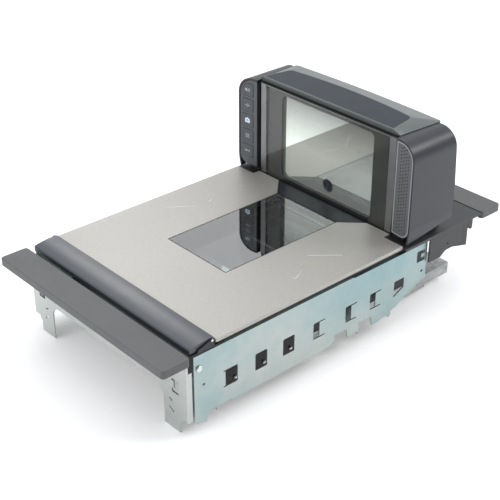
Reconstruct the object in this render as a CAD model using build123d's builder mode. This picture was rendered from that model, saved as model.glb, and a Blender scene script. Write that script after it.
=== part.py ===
from build123d import *
import math
import os

# In-counter scanner and scale: a flat bed with a horizontal window, a tower with a vertical
# window behind it, and the pressed-steel frame that hangs the unit in a checkout counter.
# Frame: +Z up, +Y from the operator's side towards the tower, +X to the operator's right.
# Origin: the middle of the footprint, on the surface that the feet stand on. Millimetres.

os.makedirs("parts", exist_ok=True)

# ------------------------------------------------------------------ driving dimensions
overall_length = 540          # over the two filler bars
filler_width = 304            # both filler bars, the widest pieces
filler_depth = 36
filler_thickness = 9.4
filler_corner = 4
platter_width = 292
platter_height = 109          # face of the platter above the feet
platter_sheet = 1.5
platter_lip = 4.2             # how far the platter's edges turn down
window_width = 105.4          # horizontal window
window_length = 178
tower_setback = 165.5         # vertical window to the rear end
tower_height = 134.5          # top of the bonnet above the platter's face
tower_depth = 68.5            # at the top; the back leans out below
cover_width = 300             # over the two side covers
rail_width = 294              # over the two side rails
rail_sheet = 1.5
rail_height = 79              # side rail, top to bottom edge
bracket_sheet = 1.5
bend_radius = 1.3             # outside of the sheet metal's bends
deck_width = 302
key_travel = 1.2

# clearances and fits
body_gap = 0.5                # between the platter body and what stands round it
key_gap = 0.4                 # round each key
pin_fit = 0.05                # radial, pivot pins in their bores

# ------------------------------------------------------------------ places worked out from them
front_end = -overall_length / 2
rear_end = overall_length / 2
counter_top = platter_height - 3
filler_bottom = counter_top - filler_thickness
tower_front = rear_end - tower_setback
tower_back = tower_front + tower_depth
tower_top = platter_height + tower_height
rear_filler_front = rear_end - filler_depth + 0.6
bracket_front = front_end + filler_depth - 0.9


def save(piece, name):
    piece.label = name
    export_step(piece, "parts/" + name + ".step")


def mirrored(piece):
    return mirror(piece, about=Plane.YZ)


def upright_edges(piece, x, y):
    """The upright edges of a piece that stand at x and y."""
    return piece.edges().filter_by(Axis.Z).filter_by(
        lambda edge: math.hypot(edge.center().X - x, edge.center().Y - y) < 0.01
    )


# ------------------------------------------------------------------ filler bars
def filler_bar(y_outer, depth, inward):
    """Bar from its outer edge at y_outer, running inward by depth; inward is 1 or -1."""
    with BuildPart() as bar:
        with BuildSketch(Plane.XY.offset(filler_bottom)):
            with Locations((0, y_outer + inward * depth / 2)):
                RectangleRounded(filler_width, depth, filler_corner)
        extrude(amount=filler_thickness)
        fillet(bar.faces().sort_by(Axis.Z)[-1].edges(), radius=filler_edge)
        # rebate along the inner edge, for the metal that carries the bar
        with BuildSketch(Plane.XY.offset(filler_bottom)):
            with Locations((0, y_outer + inward * (depth - rebate_run / 2))):
                Rectangle(2 * rebate_half, rebate_run)
        extrude(amount=filler_rebate, mode=Mode.SUBTRACT)
        # two pads under the outer part drop beside the bracket's flange
        with BuildSketch(Plane.XY.offset(filler_bottom)):
            with Locations(*[(side * pad_x, y_outer + inward * pad_y) for side in (-1, 1)]):
                Rectangle(pad_width, pad_length)
        extrude(amount=-pad_drop)
    return bar.part


filler_edge = 0.9
filler_rebate = 0.8
rebate_run = 13.5
rebate_half = rail_width / 2 - 0.5
pad_x = filler_width / 2 - 14
pad_width = 14
pad_length = 14
pad_y = 14
pad_drop = 1.2

save(filler_bar(front_end, filler_depth, 1), "front_filler_bar")
save(filler_bar(rear_end, rear_end - rear_filler_front, -1), "rear_filler_bar")

# ------------------------------------------------------------------ side rails
rail_outer = rail_width / 2
rail_inner = rail_outer - rail_sheet
rail_front = bracket_front + 9
rail_back = tower_front + 33
rail_length = rail_back - rail_front
rail_top = platter_height - 8.6
rail_bottom = rail_top - rail_height
rail_step = 1.4               # the rear stretch of the top edge sits lower
rail_step_y = tower_front - 96
rail_window_width = 17.4
rail_window_height = 21.5
rail_window_z = rail_bottom + 32.8
rail_window_corner = 1.8
rail_flange = 9
rail_hole_radius = 1.8
rail_hole_inset = 12.5        # front hole; the rear one stands 7.5 in from its end
rail_hole_z = rail_bottom + 40
# middles of the seven windows, as shares of the rail's length
rail_window_shares = (0.14, 0.257, 0.37, 0.5, 0.642, 0.755, 0.868)
rail_window_places = [rail_front + share * rail_length for share in rail_window_shares]
slit = 1.4                    # width of the cuts that free a bent tab


def rail_outline():
    """Edge of the rail's plate in the YZ plane, from the front top corner round."""
    notch_top = rail_bottom + 12.5
    tail = rail_back
    return [
        (rail_front, rail_top),
        (rail_step_y, rail_top),
        (rail_step_y + 3, rail_top - rail_step),
        (tail, rail_top - rail_step),
        (tail, rail_bottom + 31),
        (tail - 3.5, rail_bottom + 29.5),
        (tail - 50, rail_bottom + 8),
        (tail - 60, rail_bottom + 5),
        (tail - 60, rail_bottom - 1.5),
        (tail - 72, rail_bottom + 1),
        (tail - 82, rail_bottom - 1.5),
        (tail - 92.5, rail_bottom - 1.5),
        (tail - 95, notch_top - 1),
        (tail - 115, notch_top),
        (tail - 114.5, rail_bottom + 1),
        (tail - 126, rail_bottom),
        (tail - 134, rail_bottom),
        (tail - 136.5, notch_top),
        (tail - 156, notch_top),
        (tail - 156, rail_bottom + 4),
        (tail - 160, rail_bottom + 2.5),
        (tail - 163, rail_bottom),
        (rail_front + 51, rail_bottom),
        (rail_front + 51, rail_bottom + 2),
        (rail_front + 16, rail_bottom + 1),
        (rail_front + 16, rail_bottom - 10.5),
        (rail_front, rail_bottom - 6.5),
    ]


with BuildPart() as rail:
    with BuildSketch(Plane.YZ.offset(rail_inner)) as plate:
        with BuildLine():
            Polyline(*rail_outline(), close=True)
        make_face()
        fillet(plate.vertices().group_by(Axis.Y)[0].sort_by(Axis.Y)[0:1], radius=0.5)
        # three plain windows, the first with a small tab left on its front side
        for y in rail_window_places[0:3]:
            with Locations((y, rail_window_z)):
                RectangleRounded(
                    rail_window_width, rail_window_height, rail_window_corner, mode=Mode.SUBTRACT
                )
        for end in (-1, 1):
            z = rail_window_z + end * (rail_window_height - slit) / 2
            with Locations((rail_window_places[0] - rail_window_width / 2, z)):
                Rectangle(5, slit, mode=Mode.SUBTRACT)
        # three windows half closed by a tab that stays on the rear side
        for y in rail_window_places[3:6]:
            with Locations((y - rail_window_width / 4, rail_window_z)):
                RectangleRounded(
                    rail_window_width / 2 + 1, rail_window_height, rail_window_corner, mode=Mode.SUBTRACT
                )
            for end in (-1, 1):
                z = rail_window_z + end * (rail_window_height - slit) / 2
                with Locations((y + rail_window_width / 4, z)):
                    Rectangle(rail_window_width / 2 + 1, slit, mode=Mode.SUBTRACT)
        # last window, its lower rear corner cut to follow the slanted tail
        with BuildLine():
            half_w = rail_window_width / 2
            half_h = rail_window_height / 2
            y = rail_window_places[6]
            Polyline(
                (y - half_w, rail_window_z - half_h),
                (y - half_w, rail_window_z + half_h),
                (y + half_w, rail_window_z + half_h),
                (y + half_w, rail_window_z - half_h + 8),
                close=True,
            )
        make_face(mode=Mode.SUBTRACT)
        # C-shaped catch at the rear end
        with Locations((rail_back - 11, rail_top - 17)):
            RectangleRounded(14, 15, 1.2, mode=Mode.SUBTRACT)
        with Locations((rail_back - 7, rail_top - 17)):
            Rectangle(7, 5)
        for y in (rail_front + rail_hole_inset, rail_back - 7.5):
            with Locations((y, rail_hole_z)):
                Circle(rail_hole_radius, mode=Mode.SUBTRACT)
    extrude(amount=rail_sheet)
    # the front edge is folded inwards below the corner relief
    with BuildSketch(Plane.XZ.offset(-rail_front)):
        with Locations((rail_outer, rail_bottom - 6.5)):
            Rectangle(rail_flange, rail_top - rail_bottom - 18, align=(Align.MAX, Align.MIN))
    extrude(amount=-rail_sheet)
    # the top edge is folded inwards and carries the chassis
    with BuildSketch(Plane.XY.offset(rail_top)):
        with Locations((rail_outer, rail_front + 14)):
            Rectangle(rail_flange, rail_step_y - rail_front - 14, align=(Align.MAX, Align.MIN))
    extrude(amount=-rail_sheet)
    with BuildSketch(Plane.XY.offset(rail_top - rail_step)):
        with Locations((rail_outer, rail_step_y + 4)):
            Rectangle(rail_flange, rail_back - rail_step_y - 40, align=(Align.MAX, Align.MIN))
    extrude(amount=-rail_sheet)
    fillet(upright_edges(rail, rail_outer, rail_front), radius=bend_radius)
save(rail.part, "side_rail_right")
save(mirrored(rail.part), "side_rail_left")

# ------------------------------------------------------------------ front end bracket
leg_inner = 105.5
leg_outer = 131.5
bracket_half = rail_outer - 1
bracket_top = filler_bottom + filler_rebate
web_bottom = filler_bottom - 50
skirt_bottom = rail_bottom - 2
cove_radius = 14
bracket_slot = 1.6
flange_run = rebate_run - 1.5


def bracket_half_outline():
    """Right half of the bracket's plate in the XZ plane, from the top middle round."""
    return [
        (0, bracket_top),
        (bracket_half, bracket_top),
        (bracket_half, skirt_bottom),
        (leg_outer + 4, skirt_bottom),
        (leg_outer + 3.4, skirt_bottom - 3),
        (leg_outer, skirt_bottom - 6),
        (leg_outer, 0),
        (leg_inner, 0),
        (leg_inner, web_bottom - cove_radius),
    ]


with BuildPart() as bracket:
    with BuildSketch(Plane.XZ.offset(-bracket_front)) as plate:
        with BuildLine():
            Polyline(*bracket_half_outline())
            RadiusArc(
                (leg_inner, web_bottom - cove_radius),
                (leg_inner - cove_radius, web_bottom),
                -cove_radius,
            )
            Polyline((leg_inner - cove_radius, web_bottom), (0, web_bottom), (0, bracket_top))
        make_face()
        # punched window and two slots on the leg
        with Locations((leg_outer - 5.5, web_bottom + 11)):
            RectangleRounded(12, 18, 2.2, mode=Mode.SUBTRACT)
        with Locations((leg_outer - 10.5, web_bottom + 12)):
            Rectangle(5, 9)
        with Locations((leg_inner + 12, web_bottom - 10)):
            SlotOverall(6, bracket_slot, rotation=-30, mode=Mode.SUBTRACT)
        with Locations((leg_inner + 13, web_bottom - 22.5)):
            SlotOverall(9, bracket_slot, rotation=-30, mode=Mode.SUBTRACT)
        mirror(about=Plane.YZ)
    extrude(amount=-bracket_sheet)
    # side flanges run back beside the rails
    for side in (-1, 1):
        with BuildSketch(Plane.YZ.offset(side * bracket_half)):
            with Locations((bracket_front, skirt_bottom)):
                Rectangle(6.5, filler_bottom - skirt_bottom - 14, align=(Align.MIN, Align.MIN))
        extrude(amount=-side * bracket_sheet)
        fillet(upright_edges(bracket, side * bracket_half, bracket_front), radius=bend_radius)
        # short gussets behind the legs' inner edges
        with BuildSketch(Plane.YZ.offset(side * (leg_inner - cove_radius))):
            with Locations((bracket_front + bracket_sheet, web_bottom)):
                Rectangle(9, 13, align=(Align.MIN, Align.MIN))
        extrude(amount=side * bracket_sheet)
    # top flange under the filler bar
    with BuildSketch(Plane.XY.offset(bracket_top)):
        with Locations((0, bracket_front)):
            Rectangle(2 * (pad_x - pad_width / 2 - 1), flange_run, align=(Align.CENTER, Align.MAX))
    extrude(amount=-bracket_sheet)
save(bracket.part, "front_end_bracket")

# ------------------------------------------------------------------ chassis tub and its rim
tub_half = 118
tub_wall = 2.5
tub_front = bracket_front + 38.4
tub_back = tower_front + 63.5
tub_top = rail_top + 0.2
tub_front_top = rail_top - 1.4
tub_floor = 26.5              # the base tray fits below this stretch of the floor
tub_front_floor = 12
tub_step_y = tower_front - 160.5
rim_thickness = 2
rim_half = rail_outer - 3
rim_front = tub_front + 14.5
rim_top = tub_top + rim_thickness
port_zone_half = 62
port_zone_low = 42
port_zone_high = 66


def tub_profile(wall):
    """Closed outline of the tub in the YZ plane, drawn in by the wall's thickness."""
    return [
        (tub_front + wall, tub_front_top + wall),
        (tub_front + wall, 34 + wall * 0.6),
        (tub_front + 36.5 + wall * 0.4, tub_front_floor + wall),
        (tub_step_y - wall, tub_front_floor + wall),
        (tub_step_y - wall, tub_floor + wall),
        (tub_back - wall, tub_floor + wall),
        (tub_back - wall, tub_top + wall),
        (rim_front + wall, tub_top + wall),
        (rim_front + wall, tub_front_top + wall),
    ]


with BuildPart() as tub:
    with BuildSketch(Plane.YZ):
        with BuildLine():
            Polyline(*tub_profile(0), close=True)
        make_face()
    extrude(amount=tub_half, both=True)
    with BuildSketch(Plane.YZ):
        with BuildLine():
            Polyline(*tub_profile(tub_wall), close=True)
        make_face()
    extrude(amount=tub_half - tub_wall, both=True, mode=Mode.SUBTRACT)
    # rim that rests on the rails' top folds
    with BuildSketch(Plane.XY.offset(tub_top)):
        with Locations((0, (rim_front + tub_back) / 2)):
            Rectangle(2 * rim_half, tub_back - rim_front)
            Rectangle(2 * (tub_half - tub_wall), tub_back - rim_front - 2 * tub_wall, mode=Mode.SUBTRACT)
    extrude(amount=rim_thickness)
    # opening in the back wall for the cable sockets
    with BuildSketch(Plane.XZ.offset(-tub_back)):
        with Locations((0, (port_zone_low + port_zone_high) / 2)):
            Rectangle(2 * port_zone_half, port_zone_high - port_zone_low)
    extrude(amount=tub_wall, mode=Mode.SUBTRACT)
save(tub.part, "chassis_tub")

# ------------------------------------------------------------------ galvanised base tray and feet
tray_sheet = 1.5
tray_front = tub_step_y + 1.5
tray_back = rear_end - 49.5
tray_top = tub_floor - 1.3
tray_low = 10
tray_deep_low = 6.5
tray_deep_back = rear_end - 95
foot_x = 92
foot_y = tower_front - 14.5
foot_radius = 11
foot_pad = 5
stud_radius = 4

with BuildPart() as tray:
    with BuildSketch(Plane.YZ):
        with BuildLine():
            Polyline(
                (tray_front, tray_top),
                (tray_back, tray_top),
                (tray_back, tray_low),
                (tray_deep_back, tray_low),
                (tray_deep_back, tray_deep_low),
                (tray_front, tray_deep_low),
                close=True,
            )
        make_face()
    extrude(amount=tub_half, both=True)
    fillet(tray.edges().filter_by(Axis.Z).group_by(Axis.Y)[-1], radius=1.4)
    with BuildSketch(Plane.XY):
        with Locations((0, (tray_front + tray_back) / 2)):
            Rectangle(2 * (tub_half - tray_sheet), tray_back - tray_front - 2 * tray_sheet)
    extrude(amount=tray_top - tray_sheet, mode=Mode.SUBTRACT)
    with BuildSketch(Plane.XY.offset(tray_top)):
        with Locations((-foot_x, foot_y), (foot_x, foot_y)):
            Circle(stud_radius)
    extrude(amount=-tray_sheet, mode=Mode.SUBTRACT)
save(tray.part, "base_tray")

with BuildPart() as feet:
    with BuildSketch():
        with Locations((-foot_x, foot_y), (foot_x, foot_y)):
            Circle(foot_radius)
    extrude(amount=foot_pad)
    chamfer(feet.edges().filter_by(GeomType.CIRCLE).group_by(Axis.Z)[-1], length=1)
save(feet.part, "foot_pads")

with BuildPart() as studs:
    with BuildSketch(Plane.XY.offset(foot_pad)):
        with Locations((-foot_x, foot_y), (foot_x, foot_y)):
            Circle(stud_radius)
    extrude(amount=tray_top - foot_pad)
    with BuildSketch(Plane.XY.offset(tray_top - tray_sheet - 6)):
        with Locations((-foot_x, foot_y), (foot_x, foot_y)):
            RegularPolygon(radius=7.5, side_count=6)
    extrude(amount=6)
save(studs.part, "foot_studs")

# ------------------------------------------------------------------ gussets from the rails to the tub
gusset_sheet = 1.5
gusset_places = [rail_front + 31, rail_back - 116, rail_back - 62.5]

with BuildPart() as gussets:
    for y in gusset_places:
        for side in (-1, 1):
            with BuildSketch(Plane.XZ.offset(-y)):
                with BuildLine():
                    Polyline(
                        (side * tub_half, 34),
                        (side * tub_half, 68),
                        (side * rail_inner, 68),
                        (side * rail_inner, rail_bottom - 4.5),
                        (side * (rail_inner - 6), rail_bottom - 2),
                        close=True,
                    )
                make_face()
            extrude(amount=-gusset_sheet)
save(gussets.part, "rail_gussets")

# ------------------------------------------------------------------ lower optics
optics_top = 80
optics_sheet = 2
neck_half = window_width / 2 + 7
neck_margin = 5
neck_top = optics_top + 11
window_front = tower_front - 206
window_back = window_front + window_length
window_middle = (window_front + window_back) / 2
fixed_glass = 3
slide_fit = 0.3

shelf_margin = tub_wall + slide_fit

with BuildPart() as optics_cover:
    with BuildSketch(Plane.XY.offset(optics_top - optics_sheet)):
        with Locations((0, (tub_front + tub_back) / 2)):
            Rectangle(2 * tub_half - 2 * shelf_margin, tub_back - tub_front - 2 * shelf_margin)
        with Locations((0, window_middle)):
            Rectangle(2 * neck_half - 4, window_length + 2 * neck_margin - 4, mode=Mode.SUBTRACT)
    extrude(amount=optics_sheet)
    with BuildSketch(Plane.XY.offset(optics_top - optics_sheet)):
        with Locations((0, window_middle)):
            Rectangle(2 * neck_half, window_length + 2 * neck_margin)
            Rectangle(2 * neck_half - 4, window_length + 2 * neck_margin - 4, mode=Mode.SUBTRACT)
    extrude(amount=neck_top - optics_top + optics_sheet)
save(optics_cover.part, "optics_cover")

with BuildPart() as lower_window:
    with BuildSketch(Plane.XY.offset(neck_top)):
        with Locations((0, window_middle)):
            RectangleRounded(2 * neck_half, window_length + 2 * neck_margin, 3)
    extrude(amount=fixed_glass)
save(lower_window.part, "lower_window")


def slanted_plates(places, width, depth, thickness):
    """Plates across the unit: the middle's y and z, and the turn about X, of each."""
    with BuildPart() as plates:
        for y, z, tilt in places:
            upward = (0, -math.sin(tilt), math.cos(tilt))
            with BuildSketch(Plane(origin=(0, y, z), x_dir=(1, 0, 0), z_dir=upward)):
                RectangleRounded(width, depth, 2)
            extrude(amount=thickness)
    return plates.part


mirror_glass = 2.5
lower_tilt = math.radians(38)
lower_mirror_places = [(window_front + 32, 52, lower_tilt), (window_back - 34, 52, -lower_tilt)]
save(slanted_plates(lower_mirror_places, 112, 52, mirror_glass), "lower_mirrors")

lens_radius = 7
lens_length = 9
module_depth = 12
tower_imager_x = 2
tower_imager_z = platter_height + 19
mirror_front = tower_front + 7.2
# each imager: the middle of its front face and the way it looks
imager_planes = [
    Plane(origin=(0, window_middle, tub_floor + tub_wall + module_depth), z_dir=(0, 0, 1)),
    Plane(
        origin=(tower_imager_x, mirror_front + mirror_glass + 0.4 + lens_length, tower_imager_z),
        x_dir=(1, 0, 0),
        z_dir=(0, -1, 0),
    ),
]

with BuildPart() as imagers:
    for plane in imager_planes:
        with BuildSketch(plane):
            RectangleRounded(34, 26, 2)
        extrude(amount=-module_depth)
        with BuildSketch(plane):
            Circle(lens_radius + 1.5)
        extrude(amount=lens_length)
        with BuildSketch(plane.offset(lens_length)):
            Circle(lens_radius)
        extrude(amount=-2, mode=Mode.SUBTRACT)
save(imagers.part, "imagers")

with BuildPart() as lenses:
    for plane in imager_planes:
        with BuildSketch(plane.offset(lens_length - 2)):
            Circle(lens_radius)
        extrude(amount=1.5)
save(lenses.part, "imager_lenses")

board_thickness = 1.6
with BuildPart() as main_board:
    with BuildSketch(Plane.XY.offset(tub_floor + 6)):
        with Locations((0, tub_back - 48)):
            Rectangle(180, 70)
    extrude(amount=board_thickness)
    with BuildSketch(Plane.XY.offset(tub_floor + 6 + board_thickness)):
        with Locations((-50, tub_back - 55), (-10, tub_back - 40)):
            Rectangle(24, 24)
        with Locations((60, tub_back - 60)):
            Rectangle(16, 34)
    extrude(amount=3)
save(main_board.part, "main_board")

# ------------------------------------------------------------------ scale: load cells, spider, bumpers
cell_x = 100
cell_width = 22
cell_length = 120
cell_height = 12
cell_spacer = 1.5
cell_hole = 4.2
cell_middle = window_middle
spider_bottom = optics_top + 2 * cell_spacer + cell_height
spider_thickness = 4
spider_top = spider_bottom + spider_thickness
spider_front = window_front - 78
spider_back = window_back + 12
arm_width = 26
post_radius = 7
bumper_radius = 9
bumper_height = 3
bumper_top = platter_height - platter_sheet - body_gap

with BuildPart() as load_cells:
    for side in (-1, 1):
        with BuildSketch(Plane.XY.offset(optics_top + cell_spacer)):
            with Locations((side * cell_x, cell_middle)):
                Rectangle(cell_width, cell_length)
        extrude(amount=cell_height)
        for end, low in ((1, optics_top), (-1, optics_top + cell_spacer + cell_height)):
            with BuildSketch(Plane.XY.offset(low)):
                with Locations((side * cell_x, cell_middle + end * (cell_length / 2 - 12))):
                    Rectangle(cell_width, 24)
            extrude(amount=cell_spacer)
        # two joined bores through each beam leave the thin walls that bend
        with BuildSketch(Plane.YZ.offset(side * cell_x)):
            with Locations((cell_middle, optics_top + cell_spacer + cell_height / 2)):
                SlotCenterToCenter(26, 2 * cell_hole)
        extrude(amount=cell_width / 2, both=True, mode=Mode.SUBTRACT)
save(load_cells.part, "load_cells")

spider_corners = [
    (side * cell_x, y)
    for side in (-1, 1)
    for y in (spider_front + 12, spider_back - 12)
]

with BuildPart() as spider:
    with BuildSketch(Plane.XY.offset(spider_bottom)):
        for side in (-1, 1):
            with Locations((side * cell_x, (spider_front + spider_back) / 2)):
                RectangleRounded(arm_width, spider_back - spider_front, 6)
        for y in (spider_front + 28, spider_back - arm_width / 4):
            with Locations((0, y)):
                Rectangle(2 * cell_x, arm_width / 2)
    extrude(amount=spider_thickness)
    with BuildSketch(Plane.XY.offset(spider_top)):
        with Locations(*spider_corners):
            Circle(post_radius)
    extrude(amount=bumper_top - bumper_height - spider_top)
save(spider.part, "scale_spider")

with BuildPart() as bumpers:
    with BuildSketch(Plane.XY.offset(bumper_top - bumper_height)):
        with Locations(*spider_corners):
            Circle(bumper_radius)
    extrude(amount=bumper_height)
save(bumpers.part, "platter_bumpers")

# ------------------------------------------------------------------ platter, its glass and trim
bar_front = bracket_front + 6.4
bar_depth = 32
bar_back = bar_front + bar_depth
platter_front = bar_back + 1.5
platter_back = tower_front - 0.9
platter_half = platter_width / 2
corner_cut_x = 116            # the rear corners stop short of the tower's base
corner_cut_y = tower_front - 11.7
trim_front_half = window_width / 2
trim_back_half = trim_front_half + 26
trim_front = window_back + 0.4
gasket_width = 1.3
frame_low = platter_height - 5
glass_low = platter_height - 3
opening_inset = 4

with BuildPart() as platter:
    with BuildSketch(Plane.XY.offset(platter_height)) as sheet:
        with BuildLine():
            Polyline(
                (-platter_half, platter_front),
                (platter_half, platter_front),
                (platter_half, corner_cut_y),
                (corner_cut_x, corner_cut_y),
                (corner_cut_x, platter_back),
                (-corner_cut_x, platter_back),
                (-corner_cut_x, corner_cut_y),
                (-platter_half, corner_cut_y),
                close=True,
            )
        make_face()
        fillet(sheet.vertices().group_by(Axis.Y)[0], radius=2)
    extrude(amount=-platter_lip)
    fillet(platter.faces().sort_by(Axis.Z)[-1].edges(), radius=0.6)
    with BuildSketch(Plane.XY.offset(platter_height - platter_sheet)) as hollow:
        with BuildLine():
            Polyline(
                (-platter_half + platter_sheet, platter_front + platter_sheet),
                (platter_half - platter_sheet, platter_front + platter_sheet),
                (platter_half - platter_sheet, corner_cut_y - platter_sheet),
                (corner_cut_x - platter_sheet, corner_cut_y - platter_sheet),
                (corner_cut_x - platter_sheet, platter_back - platter_sheet),
                (-corner_cut_x + platter_sheet, platter_back - platter_sheet),
                (-corner_cut_x + platter_sheet, corner_cut_y - platter_sheet),
                (-platter_half + platter_sheet, corner_cut_y - platter_sheet),
                close=True,
            )
        make_face()
    extrude(amount=-platter_lip, mode=Mode.SUBTRACT)
    # one opening for the window and, behind it, the trim
    with BuildSketch(Plane.XY.offset(platter_height)):
        with BuildLine():
            Polyline(
                (-window_width / 2, window_front),
                (window_width / 2, window_front),
                (trim_front_half, trim_front),
                (trim_back_half, platter_back),
                (trim_back_half, platter_back + 1),
                (-trim_back_half, platter_back + 1),
                (-trim_back_half, platter_back),
                (-trim_front_half, trim_front),
                close=True,
            )
        make_face()
    extrude(amount=-platter_lip, mode=Mode.SUBTRACT)
save(platter.part, "platter")

with BuildPart() as window_frame:
    with BuildSketch(Plane.XY.offset(frame_low)):
        with BuildLine():
            Polyline(
                (-window_width / 2 - 9, window_front - 9),
                (window_width / 2 + 9, window_front - 9),
                (trim_front_half + 9, trim_front),
                (trim_back_half + 9, platter_back - platter_sheet - 0.3),
                (-trim_back_half - 9, platter_back - platter_sheet - 0.3),
                (-trim_front_half - 9, trim_front),
                close=True,
            )
        make_face()
    extrude(amount=platter_height - platter_sheet - frame_low)
    with BuildSketch(Plane.XY.offset(frame_low)):
        with Locations((0, window_middle)):
            Rectangle(window_width - 2 * opening_inset, window_length - 2 * opening_inset)
    extrude(amount=platter_lip, mode=Mode.SUBTRACT)
    # pocket for the gasket, the glass and the trim
    with BuildSketch(Plane.XY.offset(glass_low)):
        with Locations((0, window_middle)):
            Rectangle(window_width, window_length)
        with BuildLine():
            Polyline(
                (-trim_front_half, trim_front - 1),
                (trim_front_half, trim_front - 1),
                (trim_back_half, platter_back),
                (-trim_back_half, platter_back),
                close=True,
            )
        make_face()
    extrude(amount=platter_sheet, mode=Mode.SUBTRACT)
save(window_frame.part, "window_frame")

with BuildPart() as gasket:
    with BuildSketch(Plane.XY.offset(glass_low)):
        with Locations((0, window_middle)):
            Rectangle(window_width, window_length)
            Rectangle(window_width - 2 * gasket_width, window_length - 2 * gasket_width, mode=Mode.SUBTRACT)
    extrude(amount=platter_height - glass_low - 0.2)
save(gasket.part, "window_gasket")

with BuildPart() as platter_glass:
    with BuildSketch(Plane.XY.offset(glass_low)):
        with Locations((0, window_middle)):
            Rectangle(window_width - 2 * gasket_width, window_length - 2 * gasket_width)
    extrude(amount=platter_height - glass_low - 0.1)
save(platter_glass.part, "platter_glass")

trim_gap = 0.5
with BuildPart() as trim:
    with BuildSketch(Plane.XY.offset(glass_low)) as plan:
        with BuildLine():
            Polyline(
                (-trim_front_half + trim_gap, trim_front + trim_gap),
                (trim_front_half - trim_gap, trim_front + trim_gap),
                (trim_back_half - 1.6 * trim_gap, platter_back),
                (-trim_back_half + 1.6 * trim_gap, platter_back),
                close=True,
            )
        make_face()
        fillet(plan.vertices().group_by(Axis.Y)[0], radius=1)
    extrude(amount=platter_height - glass_low)
    fillet(trim.faces().sort_by(Axis.Z)[-1].edges(), radius=0.4)
save(trim.part, "platter_trim")

# ------------------------------------------------------------------ flip-up produce rail
pin_radius = 1.5
pin_y = bar_back - 3
pin_z = platter_height + 0.2
bar_low = platter_height - 5.5
bar_half = platter_half - 2.4
ear_sheet = 1.5
ear_gap = 0.5
ear_x = bar_half + ear_gap
pin_depth = 8
base_top = bar_low - 1.3
base_sheet = 1.2

with BuildPart() as produce_rail:
    with BuildSketch(Plane.YZ):
        with BuildLine():
            Polyline(
                (bar_back, pin_z - 3),
                (bar_back, platter_height + 2.6),
            )
            ThreePointArc(
                (bar_back, platter_height + 2.6),
                (bar_front + 0.55 * bar_depth, platter_height + 2.7),
                (bar_front + 1.4, platter_height + 0.2),
            )
            Polyline(
                (bar_front + 1.4, platter_height + 0.2),
                (bar_front, platter_height - 1.2),
                (bar_front, bar_low),
                (bar_back - 2.7, bar_low),
                (bar_back, pin_z - 3),
            )
        make_face()
    extrude(amount=bar_half, both=True)
    for side in (-1, 1):
        with BuildSketch(Plane.YZ.offset(side * bar_half)):
            with Locations((pin_y, pin_z)):
                Circle(pin_radius + pin_fit)
        extrude(amount=-side * (pin_depth + ear_gap), mode=Mode.SUBTRACT)
save(produce_rail.part, "produce_rail")

with BuildPart() as rail_base:
    with BuildSketch(Plane.XY.offset(base_top)):
        with Locations((0, bar_front + 1)):
            Rectangle(2 * (ear_x + ear_sheet), bar_depth + 12, align=(Align.CENTER, Align.MIN))
    extrude(amount=-base_sheet)
    # riser under the platter's front edge
    with BuildSketch(Plane.XY.offset(base_top)):
        with Locations((0, platter_front + platter_sheet + 0.3)):
            Rectangle(2 * platter_half - 8, 9, align=(Align.CENTER, Align.MIN))
    extrude(amount=platter_height - platter_sheet - base_top)
    for side in (-1, 1):
        with BuildSketch(Plane.YZ.offset(side * ear_x)):
            with BuildLine():
                Polyline(
                    (bar_front + 8, base_top - base_sheet),
                    (bar_front + 10, base_top + 3),
                    (pin_y - 2.6, pin_z + 0.8),
                )
                ThreePointArc((pin_y - 2.6, pin_z + 0.8), (pin_y, pin_z + 2.5), (pin_y + 2.6, pin_z + 0.8))
                Polyline(
                    (pin_y + 2.6, pin_z + 0.8),
                    (pin_y + 2.6, base_top - base_sheet),
                    (bar_front + 8, base_top - base_sheet),
                )
            make_face()
            with Locations((pin_y, pin_z)):
                Circle(pin_radius, mode=Mode.SUBTRACT)
        extrude(amount=side * ear_sheet)
save(rail_base.part, "produce_rail_base")

with BuildPart() as pins:
    for side in (-1, 1):
        with BuildSketch(Plane.YZ.offset(side * (ear_x + ear_sheet))):
            with Locations((pin_y, pin_z)):
                Circle(pin_radius)
        extrude(amount=-side * (ear_sheet + ear_gap + pin_depth - 0.5))
save(pins.part, "produce_rail_pins")

# ------------------------------------------------------------------ rear deck and what hangs below it
deck_half = deck_width / 2
deck_top = counter_top - 0.5
deck_back = rear_filler_front - 0.6
deck_front = corner_cut_y + body_gap + 0.3
wall_sheet = 2
wall_low = rim_top - 31.5
wall_front = rail_back + 0.3
wall_back = deck_back - 36
bay_half = corner_cut_x + 1.5
bay_back = tower_front + 0.2

with BuildPart() as deck:
    with BuildSketch(Plane.XY.offset(rim_top)) as plan:
        with BuildLine():
            Polyline(
                (-deck_half, deck_front),
                (-bay_half, deck_front),
                (-bay_half, bay_back),
                (bay_half, bay_back),
                (bay_half, deck_front),
                (deck_half, deck_front),
                (deck_half, deck_back),
                (-deck_half, deck_back),
                close=True,
            )
        make_face()
        fillet(plan.vertices().group_by(Axis.Y)[-1], radius=2)
    extrude(amount=deck_top - rim_top)
    chamfer(
        deck.faces().sort_by(Axis.Z)[-1].edges().filter_by(Axis.Y).group_by(Axis.X)[0]
        + deck.faces().sort_by(Axis.Z)[-1].edges().filter_by(Axis.Y).group_by(Axis.X)[-1],
        length=0.7,
    )
    for side in (-1, 1):
        with BuildSketch(Plane.YZ.offset(side * deck_half)):
            with BuildLine():
                Polyline(
                    (wall_front, rim_top),
                    (wall_back, rim_top),
                    (wall_back, wall_low + 6),
                    (wall_back - 30, wall_low + 6),
                    (wall_back - 39, wall_low),
                    (wall_front, wall_low),
                    close=True,
                )
            make_face()
            with Locations((wall_front + 34, wall_low + 14)):
                Circle(1.3, mode=Mode.SUBTRACT)
        extrude(amount=-side * wall_sheet)
save(deck.part, "rear_deck")

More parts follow.
